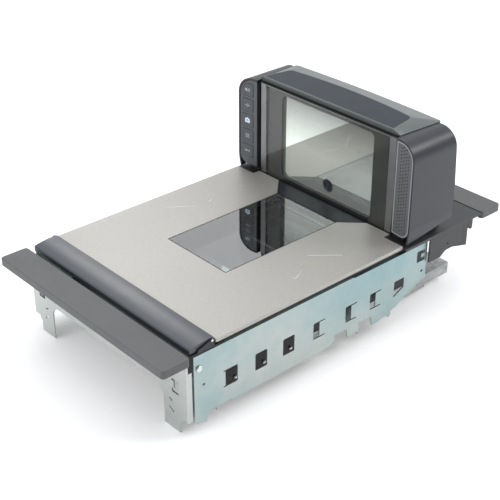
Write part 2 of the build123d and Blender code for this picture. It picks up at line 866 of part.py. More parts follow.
# rear support: a channel across the back with cheeks, two hooks, and two tongues that carry
# the filler bar
support_half = deck_half - 5
support_back = rear_filler_front - 19
support_front = support_back - 40
support_sheet = 2.5
hook_drop = 18
tongue_x = 70
tongue_width = 44
tongue_run = rear_filler_front + flange_run - support_back + support_sheet

with BuildPart() as rear_support:
    with BuildSketch(Plane.YZ):
        with BuildLine():
            Polyline(
                (support_back, rim_top),
                (support_back, rim_top - 38),
                (support_front, rim_top - 27),
                (support_front, rim_top - 27 + support_sheet),
                (support_back - support_sheet, rim_top - 38 + support_sheet),
                (support_back - support_sheet, rim_top),
                close=True,
            )
        make_face()
    extrude(amount=support_half, both=True)
    for side in (-1, 1):
        with BuildSketch(Plane.YZ.offset(side * support_half)):
            with BuildLine():
                Polyline(
                    (support_back, rim_top),
                    (support_back, rim_top - 38),
                    (support_front, rim_top - 27),
                    (support_front, rim_top),
                    close=True,
                )
            make_face()
        extrude(amount=-side * support_sheet)
        with BuildSketch(Plane.YZ.offset(side * support_half)):
            with BuildLine():
                Polyline(
                    (support_back, rim_top - 0.4),
                    (support_back + 15, rim_top - 0.4),
                    (support_back + 13, rim_top - 4),
                    (support_back + 9, rim_top - 4),
                    (support_back + 9, rim_top - hook_drop + 2),
                    (support_back + 6, rim_top - hook_drop),
                    (support_back + 4, rim_top - hook_drop + 3),
                    (support_back, rim_top - 8),
                    close=True,
                )
            make_face()
        extrude(amount=-side * 4)
    with BuildSketch(Plane.XY.offset(filler_bottom + filler_rebate)):
        with Locations(*[(side * tongue_x, support_back - support_sheet) for side in (-1, 1)]):
            Rectangle(tongue_width, tongue_run, align=(Align.CENTER, Align.MIN))
    extrude(amount=-support_sheet)
save(rear_support.part, "rear_support")

# ------------------------------------------------------------------ cable sockets on the back wall
panel_sheet = 1.5
socket_depth = 12
port_middle = (port_zone_low + port_zone_high) / 2
# half width, half height and middle of each socket's mouth along the panel
sockets = [(4, 3.5, -42), (6, 5.5, -20), (6, 5.5, 0), (6, 5.5, 20), (7, 3.5, 42)]
socket_wall = 1.2

with BuildPart() as port_panel:
    with BuildSketch(Plane.XZ.offset(-tub_back)):
        with Locations((0, port_middle)):
            RectangleRounded(2 * port_zone_half + 10, port_zone_high - port_zone_low + 10, 3)
        for half_w, half_h, x in sockets:
            with Locations((x, port_middle)):
                Rectangle(2 * half_w, 2 * half_h, mode=Mode.SUBTRACT)
    extrude(amount=-panel_sheet)
save(port_panel.part, "interface_panel")

with BuildPart() as socket_shells:
    for half_w, half_h, x in sockets:
        with BuildSketch(Plane.XZ.offset(-tub_back)):
            with Locations((x, port_middle)):
                Rectangle(2 * (half_w + socket_wall), 2 * (half_h + socket_wall))
        extrude(amount=socket_depth + socket_wall)
        with BuildSketch(Plane.XZ.offset(-tub_back)):
            with Locations((x, port_middle)):
                Rectangle(2 * half_w, 2 * half_h)
        extrude(amount=socket_depth, mode=Mode.SUBTRACT)
save(socket_shells.part, "cable_sockets")

# ------------------------------------------------------------------ tower base and housing
cover_half = cover_width / 2
seam_front = cover_half - 31.5
seam_back = seam_front + 5
cover_top = tower_top - 7.5
cover_low_front = deck_top + 1.5
plinth_half = cover_half - 13
plinth_ledge_half = platter_half - 0.5
plinth_top = deck_top + 7.5
housing_half = seam_front - 1.5
housing_front = tower_front + 3.7
housing_back = tower_back - 3
housing_wall = 2.5
housing_low = deck_top
housing_top = cover_top - 2.2
glass_half = 104.7
glass_thickness = 3
glass_bottom = platter_height + 0.6
glass_top = tower_top - 12
clear_half = 78.5
clear_bottom = platter_height + 4.2
clear_top = tower_top - 17.2
clear_corner = 7
mask_thickness = 0.5
adhesive_gap = 0.1              # in front of the mask, where the glass is bonded
glass_front = housing_front - mask_thickness - glass_thickness

with BuildPart() as plinth:
    with BuildSketch(Plane.XY.offset(deck_top)):
        for side in (-1, 1):
            with BuildLine():
                Polyline(
                    (side * bay_half, deck_front + 0.6),
                    (side * plinth_ledge_half, deck_front + 0.6),
                    (side * plinth_ledge_half, tower_front + 3),
                    (side * plinth_half, tower_front + 12),
                    (side * plinth_half, tower_back - 4),
                    (side * bay_half, tower_back - 4),
                    close=True,
                )
            make_face()
    extrude(amount=1.2)
    with BuildSketch(Plane.XY.offset(deck_top)):
        for side in (-1, 1):
            with BuildLine():
                Polyline(
                    (side * bay_half, tower_front + 1),
                    (side * (plinth_half - 2), tower_front + 1),
                    (side * (plinth_half - 2), tower_back - 6),
                    (side * bay_half, tower_back - 6),
                    close=True,
                )
            make_face()
    extrude(amount=plinth_top - deck_top)
save(plinth.part, "tower_plinth")

with BuildPart() as housing:
    with BuildSketch(Plane.XY.offset(housing_low)):
        with Locations((0, (housing_front + housing_back) / 2)):
            Rectangle(2 * housing_half, housing_back - housing_front)
    extrude(amount=housing_top - housing_low)
    with BuildSketch(Plane.XY.offset(housing_low + housing_wall)):
        with Locations((0, (housing_front + housing_back) / 2)):
            Rectangle(2 * (housing_half - housing_wall), housing_back - housing_front - 2 * housing_wall)
    extrude(amount=housing_top - housing_low - 2 * housing_wall, mode=Mode.SUBTRACT)
    # front flange that closes the seams beside the side covers
    with BuildSketch(Plane.XZ.offset(-housing_front)):
        with Locations((0, plinth_top + 0.3)):
            Rectangle(
                2 * (seam_front - 0.3), housing_top - plinth_top - 0.3, align=(Align.CENTER, Align.MIN)
            )
    extrude(amount=-housing_wall)
    with BuildSketch(Plane.XZ.offset(-housing_front)):
        with Locations((0, (clear_bottom + clear_top) / 2)):
            RectangleRounded(2 * clear_half + 8, clear_top - clear_bottom, clear_corner)
    extrude(amount=-housing_wall, mode=Mode.SUBTRACT)
    # service opening in the back, closed by the rear cover
    with BuildSketch(Plane.XZ.offset(-housing_back)):
        with Locations((0, (housing_low + housing_top) / 2)):
            Rectangle(2 * housing_half - 30, housing_top - housing_low - 30)
    extrude(amount=housing_wall, mode=Mode.SUBTRACT)
save(housing.part, "tower_housing")

with BuildPart() as mask:
    with BuildSketch(Plane.XZ.offset(-housing_front)):
        with Locations((0, (glass_bottom + glass_top) / 2)):
            Rectangle(2 * glass_half, glass_top - glass_bottom)
        with Locations((0, (clear_bottom + clear_top) / 2)):
            RectangleRounded(2 * clear_half, clear_top - clear_bottom, clear_corner, mode=Mode.SUBTRACT)
    extrude(amount=mask_thickness - adhesive_gap)
save(mask.part, "window_mask")

with BuildPart() as tower_window:
    with BuildSketch(Plane.XZ.offset(-glass_front)):
        with Locations((0, (glass_bottom + glass_top) / 2)):
            RectangleRounded(2 * glass_half, glass_top - glass_bottom, 1)
    extrude(amount=-glass_thickness)
save(tower_window.part, "tower_window")

strip_gap = 0.5
strip_outer = glass_half + 11
strip_top = glass_top + 1.8

with BuildPart() as strips:
    for side in (-1, 1):
        with BuildSketch(Plane.XY.offset(glass_bottom)):
            with BuildLine():
                Polyline(
                    (side * (glass_half + strip_gap), glass_front + 0.3),
                    (side * (strip_outer - 1.2), glass_front + 0.3),
                    (side * strip_outer, glass_front + 1.6),
                    (side * strip_outer, housing_front),
                    (side * (glass_half + strip_gap), housing_front),
                    close=True,
                )
            make_face()
        extrude(amount=strip_top - glass_bottom)
save(strips.part, "window_side_strips")

with BuildPart() as top_strip:
    with BuildSketch(Plane.YZ):
        with BuildLine():
            Polyline(
                (glass_front + 0.3, glass_top + strip_gap),
                (glass_front + 0.3, strip_top),
                (housing_front, strip_top),
                (housing_front, glass_top + strip_gap),
                close=True,
            )
        make_face()
    extrude(amount=glass_half, both=True)
save(top_strip.part, "window_top_strip")

# ------------------------------------------------------------------ tower optics
# half-silvered plate close behind the window, with a hole for the tower's imager
with BuildPart() as tower_mirror:
    with BuildSketch(Plane.XZ.offset(-mirror_front)):
        with Locations((0, (clear_bottom + clear_top) / 2)):
            RectangleRounded(2 * clear_half + 6, clear_top - clear_bottom + 6, 2)
        with Locations((tower_imager_x, tower_imager_z)):
            Circle(lens_radius + 2, mode=Mode.SUBTRACT)
    extrude(amount=-mirror_glass)
save(tower_mirror.part, "tower_mirror")

with BuildPart() as side_mirrors:
    for side in (-1, 1):
        foot = (side * 66, tower_front + 12)
        heel = (side * 100, tower_front + 46)
        with BuildSketch(Plane.XY.offset(platter_height + 22)):
            with BuildLine():
                Polyline(
                    foot,
                    heel,
                    (heel[0] + side * 1.8, heel[1] - 1.8),
                    (foot[0] + side * 1.8, foot[1] - 1.8),
                    close=True,
                )
            make_face()
        extrude(amount=86)
save(side_mirrors.part, "side_mirrors")

with BuildPart() as light_bars:
    for side in (-1, 1):
        with BuildSketch(Plane.XZ.offset(-(housing_front + housing_wall + 1))):
            with Locations((side * (clear_half + 9), (clear_bottom + clear_top) / 2)):
                RectangleRounded(9, 84, 2)
        extrude(amount=-4)
save(light_bars.part, "illumination_boards")

# ------------------------------------------------------------------ bonnet and its inset panel
bonnet_low = cover_top + 1
bonnet_skirt = 3
bonnet_wall = 2.2
bonnet_back = tower_back + 2
top_half_front = seam_front - 8.5
top_half_back = seam_front - 15.5
top_back = tower_back - 27
inset_depth = 1
inset_margin = 1.2
inset_gap = 0.2
brow_height = 9
brow_setback = 6


def bonnet_plan(half_front, half_back, y_front, y_back, bulge, corner):
    """Plan outline that bows out at the back, with rounded rear corners."""
    with BuildSketch(mode=Mode.PRIVATE) as plan:
        with BuildLine():
            Polyline(
                (-half_back, y_back),
                (-half_front, y_front),
                (half_front, y_front),
                (half_back, y_back),
            )
            ThreePointArc((half_back, y_back), (0, y_back + bulge), (-half_back, y_back))
        make_face()
        fillet(plan.vertices().group_by(Axis.Y)[-1], radius=corner)
    return plan.sketch


with BuildPart() as bonnet:
    with BuildSketch(Plane.XY.offset(bonnet_low)):
        add(bonnet_plan(seam_front - 1.2, seam_back - 1.2, tower_front, bonnet_back, 3.5, 3))
    with BuildSketch(Plane.XY.offset(tower_top)):
        add(bonnet_plan(top_half_front, top_half_back, tower_front, top_back, 7, 3))
    loft(ruled=True)
    with BuildSketch(Plane.XY.offset(bonnet_low)):
        add(bonnet_plan(seam_front - 1.2, seam_back - 1.2, tower_front, bonnet_back, 3.5, 3))
    extrude(amount=-bonnet_skirt)
    # undercut below the brow
    with BuildSketch(Plane.YZ):
        with BuildLine():
            Polyline(
                (tower_front - 1, tower_top - 1.2),
                (tower_front, tower_top - 1.2),
                (tower_front + brow_setback, tower_top - 1.2 - brow_height),
                (tower_front - 1, tower_top - 1.2 - brow_height),
                close=True,
            )
        make_face()
    extrude(amount=seam_front, both=True, mode=Mode.SUBTRACT)
    # hollow underside
    with BuildSketch(Plane.XY.offset(bonnet_low - bonnet_skirt)):
        add(
            bonnet_plan(
                seam_front - 1.2 - bonnet_wall, seam_back - 1.2 - bonnet_wall,
                tower_front + brow_setback + bonnet_wall + 1, bonnet_back - bonnet_wall, 3.5, 2,
            )
        )
    extrude(amount=bonnet_skirt, mode=Mode.SUBTRACT)
    # recess for the inset panel
    with BuildSketch(Plane.XY.offset(tower_top)):
        add(
            bonnet_plan(
                top_half_front - inset_margin, top_half_back - inset_margin,
                tower_front + inset_margin, top_back - inset_margin, 7, 9,
            )
        )
    extrude(amount=-inset_depth, mode=Mode.SUBTRACT)
save(bonnet.part, "bonnet")

with BuildPart() as inset:
    with BuildSketch(Plane.XY.offset(tower_top - inset_depth)):
        add(
            bonnet_plan(
                top_half_front - inset_margin - inset_gap,
                top_half_back - inset_margin - inset_gap,
                tower_front + inset_margin + inset_gap,
                top_back - inset_margin - inset_gap,
                7,
                9 - inset_gap,
            )
        )
    extrude(amount=inset_depth)
save(inset.part, "bonnet_inset")

# ------------------------------------------------------------------ side covers
cover_wall = 2.4
cover_tilt = math.radians(7.2)
cover_front = tower_front - 2.9
cover_round_top = 23
cover_tuck = 3.5              # how far the cover's side curves in towards the deck
tuck_top = deck_top + 23
back_lean = 6
step_height = deck_top + 40
step_depth = 5.5
cover_low_back = deck_top + 15.5
front_plane = Plane(
    origin=(seam_front, cover_front, 0),
    x_dir=(math.cos(cover_tilt), -math.sin(cover_tilt), 0),
    z_dir=(-math.sin(cover_tilt), -math.cos(cover_tilt), 0),
)


def cover_section(wall):
    """Front view of a side cover, drawn in by the wall's thickness."""
    with BuildSketch(mode=Mode.PRIVATE) as section:
        with BuildLine():
            Polyline(
                (seam_front - 12 - wall * 8, cover_low_front - 2 - wall * 8),
                (seam_front - 12 - wall * 8, cover_top - wall),
                (cover_half - cover_round_top, cover_top - wall),
            )
            RadiusArc(
                (cover_half - cover_round_top, cover_top - wall),
                (cover_half - wall, cover_top - cover_round_top),
                cover_round_top - wall,
            )
            Line((cover_half - wall, cover_top - cover_round_top), (cover_half - wall, tuck_top))
            ThreePointArc(
                (cover_half - wall, tuck_top),
                (cover_half - wall - cover_tuck * 0.27, (tuck_top + cover_low_front) / 2),
                (cover_half - wall - cover_tuck, cover_low_front - 1),
            )
            Polyline(
                (cover_half - wall - cover_tuck, cover_low_front - 1),
                (cover_half - wall - cover_tuck, cover_low_front - 2 - wall * 8),
                (seam_front - 12 - wall * 8, cover_low_front - 2 - wall * 8),
            )
        make_face()
    return section.sketch


with BuildPart() as cover:
    with BuildSketch(Plane.XZ.offset(8 - cover_front)):
        add(cover_section(0))
    extrude(amount=-(tower_depth + 24))
    # side view: slanted back with a step, and a lower edge that rises towards the back
    with BuildSketch(Plane.YZ):
        with BuildLine():
            Polyline(
                (cover_front - 9, cover_top + 1),
                (tower_back, cover_top + 1),
                (tower_back, cover_top),
                (tower_back + back_lean, step_height),
                (tower_back + back_lean - step_depth, step_height - 4),
                (tower_back + back_lean - step_depth + 3, cover_low_back),
                (cover_front - 9, cover_low_front),
                close=True,
            )
        make_face()
    extrude(amount=cover_width, both=True, mode=Mode.INTERSECT)
    fillet(cover.edges().filter_by(Axis.X).group_by(Axis.Z)[-1].sort_by(Axis.Y)[-1:], radius=3)
    with BuildSketch(Plane.XZ.offset(8 - cover_front)):
        add(cover_section(cover_wall))
    extrude(amount=-(tower_depth + 8 - cover_wall), mode=Mode.SUBTRACT)
    # keep what stands outside the slanted seam beside the bonnet
    with BuildSketch(Plane.XY.offset(deck_top - 5)):
        with BuildLine():
            Polyline(
                (seam_front - 14, cover_front - 12),
                (seam_front, cover_front - 12),
                (seam_front, cover_front),
                (seam_back, tower_back),
                (seam_back, tower_back + 12),
                (seam_front - 14, tower_back + 12),
                close=True,
            )
        make_face()
    extrude(amount=tower_top, mode=Mode.SUBTRACT)
    split(bisect_by=front_plane, keep=Keep.BOTTOM)
save(cover.part, "side_cover_right")
save(mirrored(cover.part), "side_cover_left")

# ------------------------------------------------------------------ grille, speaker and key panel
panel_low = deck_top + 8.5
panel_gap = 0.6
panel_recess = 0.4
panel_thickness = 2.2
rim_width = 1.5
bottom_round = 13
front_width = (cover_half - seam_front) / math.cos(cover_tilt) - cover_wall - panel_gap


def front_outline(inset_by):
    """Outline of a cover's front panel in the tilted plane, drawn in by inset_by."""
    with BuildSketch(mode=Mode.PRIVATE) as outline:
        with BuildLine():
            Polyline(
                (0.8 + inset_by, panel_low + inset_by),
                (0.8 + inset_by, cover_top - cover_wall - panel_gap - inset_by),
                (front_width - inset_by, cover_top - cover_wall - panel_gap - inset_by),
                (front_width - inset_by, panel_low + inset_by),
                close=True,
            )
        make_face()
        outer = outline.vertices().group_by(Axis.X)[-1].sort_by(Axis.Y)
        fillet(outer[-1:], radius=cover_round_top - cover_wall - inset_by)
        fillet(outline.vertices().group_by(Axis.X)[-1].sort_by(Axis.Y)[0:1], radius=bottom_round - inset_by)
        fillet(outline.vertices().group_by(Axis.X)[0], radius=1.5)
    return outline.sketch


with BuildPart() as bezel:
    with BuildSketch(front_plane.offset(-panel_recess)):
        add(front_outline(0))
        add(front_outline(rim_width), mode=Mode.SUBTRACT)
    extrude(amount=-panel_thickness)
save(bezel.part, "grille_bezel")

grille_hole = 0.85
grille_pitch = 4.3
grille_margin = 2
grille_columns = 6
grille_rows = 26
grille_middle_u = (front_width + 0.8) / 2
grille_middle_z = (panel_low + cover_top) / 2


def perforation_places():
    """Staggered rows of hole middles that keep clear of the grille's edge."""
    edge = rim_width + grille_margin
    right = front_width - edge
    places = []
    for column in range(grille_columns):
        for row in range(grille_rows):
            u = grille_middle_u + (column - (grille_columns - 1) / 2) * grille_pitch
            z = grille_middle_z + (row - (grille_rows - 1) / 2 + 0.5 * (column % 2)) * grille_pitch
            top = cover_top - cover_wall - edge
            top_drop = cover_round_top - cover_wall - edge
            low_rise = bottom_round - edge
            over_top = math.hypot(max(0, u - right + top_drop), max(0, z - top + top_drop)) > top_drop
            below = max(0, panel_low + edge + low_rise - z)
            under_low = math.hypot(max(0, u - right + low_rise), below) > low_rise
            if 0.8 + edge <= u and not over_top and not under_low:
                places.append((u, z))
    return places


with BuildPart() as grille:
    with BuildSketch(front_plane.offset(-panel_recess - 0.5)):
        add(front_outline(rim_width))
        with Locations(*perforation_places()):
            Circle(grille_hole, mode=Mode.SUBTRACT)
    extrude(amount=-1)
save(grille.part, "speaker_grille")

speaker_radius = 11.5
speaker_u = grille_middle_u
speaker_z = cover_top - 38.5
with BuildPart() as speaker:
    with BuildSketch(front_plane.offset(-panel_recess - 2)):
        with Locations((speaker_u, speaker_z)):
            Circle(speaker_radius)
            Circle(speaker_radius - 2.5, mode=Mode.SUBTRACT)
    extrude(amount=-3)
    with BuildSketch(front_plane.offset(-panel_recess - 4)):
        with Locations((speaker_u, speaker_z)):
            Circle(speaker_radius - 1)
    extrude(amount=-1)
    with BuildSketch(front_plane.offset(-panel_recess - 5)):
        with Locations((speaker_u, speaker_z)):
            Circle(speaker_radius - 4)
    extrude(amount=-8)
save(speaker.part, "speaker")

# the key panel mirrors the grille's side, so it is drawn on the right and mirrored
key_names = ["menu", "spare", "camera", "operator", "volume"]
key_width = 18.6
key_u = front_width - rim_width - 1.2 - key_width / 2 - 0.3
key_low = deck_top + 19
key_top = cover_top - 8.1
key_space = 3.6
key_pitch = (key_top - key_low + key_space) / len(key_names)
key_height = key_pitch - key_space
key_proud = 0.5
key_depth = 4.2
key_corner = 1.6


def key_outline(row, grow):
    """A key's rounded rectangle, trimmed to follow the panel's rounded corners."""
    with BuildSketch(mode=Mode.PRIVATE) as outline:
        with Locations((key_u, key_low + row * key_pitch + key_height / 2)):
            RectangleRounded(key_width + 2 * grow, key_height + 2 * grow, key_corner + grow)
        add(front_outline(rim_width + 1.2 - grow), mode=Mode.INTERSECT)
    return outline.sketch


with BuildPart() as key_panel:
    with BuildSketch(front_plane.offset(-panel_recess)):
        add(front_outline(0))
        for row in range(len(key_names)):
            add(key_outline(row, key_gap), mode=Mode.SUBTRACT)
    extrude(amount=-panel_thickness)
save(mirrored(key_panel.part), "key_panel")

for row, key_name in enumerate(key_names):
    with BuildPart() as key:
        with BuildSketch(front_plane.offset(-panel_recess + key_proud)):
            add(key_outline(row, 0))
        extrude(amount=-key_depth)
        fillet(key.faces().sort_by(Axis.Y)[0].edges(), radius=0.4)
    save(mirrored(key.part), key_name + "_key")

keypad_depth = panel_recess - key_proud + key_depth + key_travel + 0.5
with BuildPart() as keypad:
    with BuildSketch(front_plane.offset(-keypad_depth)):
        add(front_outline(rim_width))
    extrude(amount=-1.5)
save(mirrored(keypad.part), "keypad_sheet")

with BuildPart() as key_board:
    with BuildSketch(front_plane.offset(-keypad_depth - 1.5)):
        add(front_outline(rim_width + 1))
    extrude(amount=-board_thickness)
save(mirrored(key_board.part), "key_board")

# ------------------------------------------------------------------ rear cover of the tower
with BuildPart() as rear_cover:
    with BuildSketch(Plane.XZ.offset(-housing_back)):
        with Locations((0, (housing_low + housing_top) / 2)):
            RectangleRounded(2 * housing_half - 8, housing_top - housing_low - 4, 4)
    extrude(amount=-2.5)
save(rear_cover.part, "rear_cover")

# ------------------------------------------------------------------ fasteners
head_radius = 3.6
head_height = 2.2


def pan_heads(places, plane_of, radius):
    """Pan heads of screws, one at each place, on planes made by plane_of."""
    with BuildPart() as screws:
        for place in places:
            with BuildSketch(plane_of(place)):
                Circle(radius)
            extrude(amount=head_height)
        chamfer(screws.edges().filter_by(GeomType.CIRCLE), length=0.5)
    return screws.part


# screws that hold the rails' front ends, one on each side
rail_screw_places = [(side * rail_outer, rail_front + 6, rail_top - 16) for side in (-1, 1)]
save(
    pan_heads(rail_screw_places, lambda p: Plane(origin=p, z_dir=(p[0], 0, 0)), head_radius),
    "rail_screws",
)

# screws in the tub's sides, seen through the rails' front windows
tub_screw_places = [
    (side * tub_half, y + 30, rail_window_z - 32) for side in (-1, 1) for y in rail_window_places[0:3]
]
save(
    pan_heads(tub_screw_places, lambda p: Plane(origin=p, z_dir=(p[0], 0, 0)), head_radius * 0.6),
    "tub_screws",
)

# screws in the rear cover
cover_screw_places = [
    (side * (housing_half - 12), housing_back + 2.5, z)
    for side in (-1, 1)
    for z in (housing_low + 12, housing_top - 12)
]
save(
    pan_heads(cover_screw_places, lambda p: Plane(origin=p, z_dir=(0, 1, 0)), head_radius),
    "rear_cover_screws",
)
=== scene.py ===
import math

import bpy
import numpy as np
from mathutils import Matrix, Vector


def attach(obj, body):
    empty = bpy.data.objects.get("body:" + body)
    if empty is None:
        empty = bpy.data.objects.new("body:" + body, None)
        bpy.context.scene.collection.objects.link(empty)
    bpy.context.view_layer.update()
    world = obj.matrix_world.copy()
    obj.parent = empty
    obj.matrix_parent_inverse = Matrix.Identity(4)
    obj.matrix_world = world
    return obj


bl_info = {
    "name": "Counter scanner and scale",
    "version": (1, 0, 0),
    "blender": (4, 5, 0),
    "location": "3D View > Sidebar > Scanner",
    "description": "Finishes and small pieces of a counter scanner and scale, round its CAD frame",
    "category": "Object",
}

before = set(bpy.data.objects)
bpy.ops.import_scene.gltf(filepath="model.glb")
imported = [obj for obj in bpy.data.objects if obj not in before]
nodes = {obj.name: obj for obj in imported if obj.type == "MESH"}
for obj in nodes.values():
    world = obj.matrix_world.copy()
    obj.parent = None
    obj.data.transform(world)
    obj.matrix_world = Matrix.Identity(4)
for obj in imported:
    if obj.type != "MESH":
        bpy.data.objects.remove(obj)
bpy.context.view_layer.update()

platter_face = 0.109  # height of the platter above the feet, in metres
key_turn = math.radians(7.2)  # the keys face this far inwards

floor_half = 40
floor_drop = 0.0005  # below the feet, so that the floor and the feet don't share a face
sky_bright, sky_dim = 1.1, 0.25  # towards the left, and towards the right
lamp_aim = (0.0, 0.0, 0.1)
lamps = (  # name, place in metres, side in metres, power in watts
    ("overhead", (-0.3, 0.2, 2.4), 2.4, 9),
    ("back_left", (-1.95, 0.95, 1.75), 0.6, 5),
    ("cover_top", (1.1, 1.25, 1.45), 0.8, 16),
    ("front", (-0.6, -2.4, 1.0), 1.2, 10),
)
camera_azimuth = math.radians(48.11)
camera_elevation = math.radians(29.98)
camera_aim = (0.0326, -0.0464, 0.109)
camera_distance = 1.345


# ---------------------------------------------------------------- settings


class ScannerSizes(bpy.types.PropertyGroup):
    """Sizes of the small pieces."""

    mark_rise: bpy.props.FloatProperty(
        name="Mark rise",
        description="Height of the raised marks on the platter",
        default=0.00012,
        unit="LENGTH",
    )
    symbol_rise: bpy.props.FloatProperty(
        name="Symbol rise",
        description="Height of a printed symbol above its key",
        default=0.00012,
        unit="LENGTH",
    )


class ScannerColours(bpy.types.PropertyGroup):
    """Colours of the finishes."""

    covers: bpy.props.FloatVectorProperty(
        name="Covers",
        description="Side covers of the tower",
        default=(0.03, 0.034, 0.041),
        subtype="COLOR",
    )
    brow: bpy.props.FloatVectorProperty(
        name="Brow",
        description="Inset on top of the tower",
        default=(0.012, 0.02, 0.03),
        subtype="COLOR",
    )
    zinc: bpy.props.FloatVectorProperty(
        name="Zinc",
        description="Plating of the side rails",
        default=(0.3, 0.42, 0.44),
        subtype="COLOR",
    )
    filler: bpy.props.FloatVectorProperty(
        name="Filler",
        description="End bars at the counter's edge",
        default=(0.092, 0.094, 0.098),
        subtype="COLOR",
    )


# ---------------------------------------------------------------- finishes


class Finish:
    """A material being laid out, on its piece's own coordinates."""

    def __init__(self, name, colour, roughness, metallic=0.0):
        self.material = bpy.data.materials.new(name)
        self.material.use_nodes = True
        self.tree = self.material.node_tree
        self.shader = self.tree.nodes["Principled BSDF"]
        self.place = self.node("TexCoord").outputs["Object"]
        self.colour = tuple(colour)
        self.set("Base Color", (*self.colour, 1))
        self.set("Roughness", roughness)
        self.set("Metallic", metallic)

    def node(self, kind, inputs=None, **settings):
        """A node of that kind, with its settings and its inputs joined or filled in."""
        made = self.tree.nodes.new("ShaderNode" + kind)
        for key, value in settings.items():
            setattr(made, key, value)
        for key, value in (inputs or {}).items():
            self.feed(made.inputs[key], value)
        return made

    def feed(self, socket, value):
        """Joins a socket to another, or sets its own value."""
        if isinstance(value, bpy.types.NodeSocket):
            self.tree.links.new(value, socket)
        else:
            socket.default_value = value

    def set(self, socket, value):
        """Joins or sets one of the shader's inputs."""
        self.feed(self.shader.inputs[socket], value)

    def noise(self, scale, detail=2.0, rough=0.5, stretch=None):
        """Smooth noise from 0 to 1, with that many lumps to the metre. The piece's coordinates
        are first multiplied by stretch along each axis."""
        vector = self.place
        if stretch:
            mapping = self.node("Mapping", {"Vector": vector, "Scale": stretch})
            vector = mapping.outputs["Vector"]
        inputs = {"Vector": vector, "Scale": scale, "Detail": detail, "Roughness": rough}
        return self.node("TexNoise", inputs).outputs["Fac"]

    def cells(self, scale):
        """A cell pattern with that many cells to the metre, a random colour to each."""
        made = self.node("TexVoronoi", {"Vector": self.place, "Scale": scale})
        return made.outputs["Color"]

    def spread(self, factor, low, high, start=0.0, end=1.0):
        """Carries factor from start..end onto low..high."""
        inputs = {0: factor, 1: start, 2: end, 3: low, 4: high}
        return self.node("MapRange", inputs).outputs[0]

    def blend(self, factor, first, second):
        """A colour between two colours or colour sockets."""
        made = self.node("Mix", data_type="RGBA")
        self.feed(made.inputs[0], factor)
        for index, value in ((6, first), (7, second)):
            whole = value if isinstance(value, bpy.types.NodeSocket) else (*value[:3], 1)
            self.feed(made.inputs[index], whole)
        return made.outputs[2]

    def maths(self, operation, first, second):
        """The result of a Math node."""
        return self.node("Math", {0: first, 1: second}, operation=operation).outputs[0]

    def tint(self, factor, low, high):
        """The base colour runs from low to high, as shares of the plain one, with factor."""
        dark = [channel * low for channel in self.colour]
        light = [channel * high for channel in self.colour]
        self.set("Base Color", self.blend(factor, dark, light))

    def rough(self, factor, low, high):
        """The roughness runs from low to high with factor."""
        self.set("Roughness", self.spread(factor, low, high))

    def relief(self, factor, height):
        """Raises the surface by factor times height, in metres."""
        made = self.node("Bump", {"Height": factor, "Distance": height, "Strength": 1.0})
        self.set("Normal", made.outputs["Normal"])


def moulded(name, colour, roughness, grain=2600, depth=0.00003, coat=0.0):
    """Moulded plastic: a fine spark-eroded grain, faint flow marks and handling wear. grain is
    the number of grains to the metre, depth their height in metres."""
    made = Finish(name, colour, roughness)
    fine = made.noise(grain, 3, 0.6)
    broad = made.noise(14, 3, 0.55)
    made.tint(made.spread(broad, 0, 1, 0.3, 0.7), 0.94, 1.06)
    made.rough(made.noise(60, 4, 0.6), roughness - 0.05, roughness + 0.07)
    made.relief(fine, depth)
    made.set("Coat Weight", coat)
    made.set("Coat Roughness", 0.25)
    return made


def sheet_metal(name, colour, roughness, mottle, mottle_colour, rolled=(1, 1, 1)):
    """Plated sheet: cloudy tints of the plating, fine rolling lines and scuffs. mottle is the
    number of clouds to the metre, rolled the stretch of the lines."""
    made = Finish(name, colour, roughness, 1.0)
    cloud = made.noise(mottle, 4, 0.62)
    share = made.spread(cloud, 0, 1, 0.35, 0.68)
    made.set("Base Color", made.blend(share, colour, mottle_colour))
    lines = made.noise(900, 3, 0.6, rolled)
    scuffs = made.noise(38, 5, 0.7)
    wear = made.maths("ADD", made.spread(lines, -0.25, 0.25), scuffs)
    made.rough(wear, roughness - 0.08, roughness + 0.16)
    made.relief(lines, 0.00002)
    return made


def dress(material, *names):
    """Gives a material to those CAD nodes."""
    for name in names:
        for slot in nodes[name].material_slots:
            slot.material = material


# ---------------------------------------------------------------- surfaces


def piece(name, points, faces, body, material, slot, smooth=True):
    """A new piece from arrays of points and faces, riding on a body."""
    mesh = bpy.data.meshes.new(name)
    mesh.from_pydata(points.tolist(), [], faces)
    mesh.update()
    mesh.polygons.foreach_set("use_smooth", [smooth] * len(mesh.polygons))
    made = bpy.data.objects.new(name, mesh)
    bpy.context.scene.collection.objects.link(made)
    made.data.materials.append(material)
    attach(made, body)
    return made


def ribbon(corners, width):
    """Outline of a line of even width along corners: each corner goes half a width to each
    side, along the bisector of the directions of the runs that meet there."""
    corners = np.asarray(corners, float)
    runs = np.diff(corners, axis=0)
    runs /= np.linalg.norm(runs, axis=1)[:, None]
    before = np.vstack([runs[:1], runs])
    after = np.vstack([runs, runs[-1:]])
    middle = (before + after) / np.linalg.norm(before + after, axis=1)[:, None]
    across = np.stack([-middle[:, 1], middle[:, 0]], 1)
    reach = width / 2 / np.maximum(np.sum(middle * after, 1), 0.5)[:, None]
    return np.vstack([corners - across * reach, (corners + across * reach)[::-1]])


def circle(radius, count=32):
    """Points on a circle: the radius times the cosine and the sine of even turns."""
    turn = np.linspace(0, 2 * np.pi, count, endpoint=False)
    return np.stack([np.cos(turn), np.sin(turn)], 1) * radius


def arc(middle, radius, half_angle, count=9):
    """Points on an arc that opens to the right, half_angle degrees to each side."""
    turn = np.radians(np.linspace(-half_angle, half_angle, count))
    return np.stack([np.cos(turn), np.sin(turn)], 1) * radius + middle


def band(outer, inner):
    """Two closed rows of points, outer then inner, and the quads between them."""
    count = len(outer)
    here = np.arange(count)
    after = (here + 1) % count
    return np.vstack([outer, inner]), np.stack([here, after, after + count, here + count], 1)


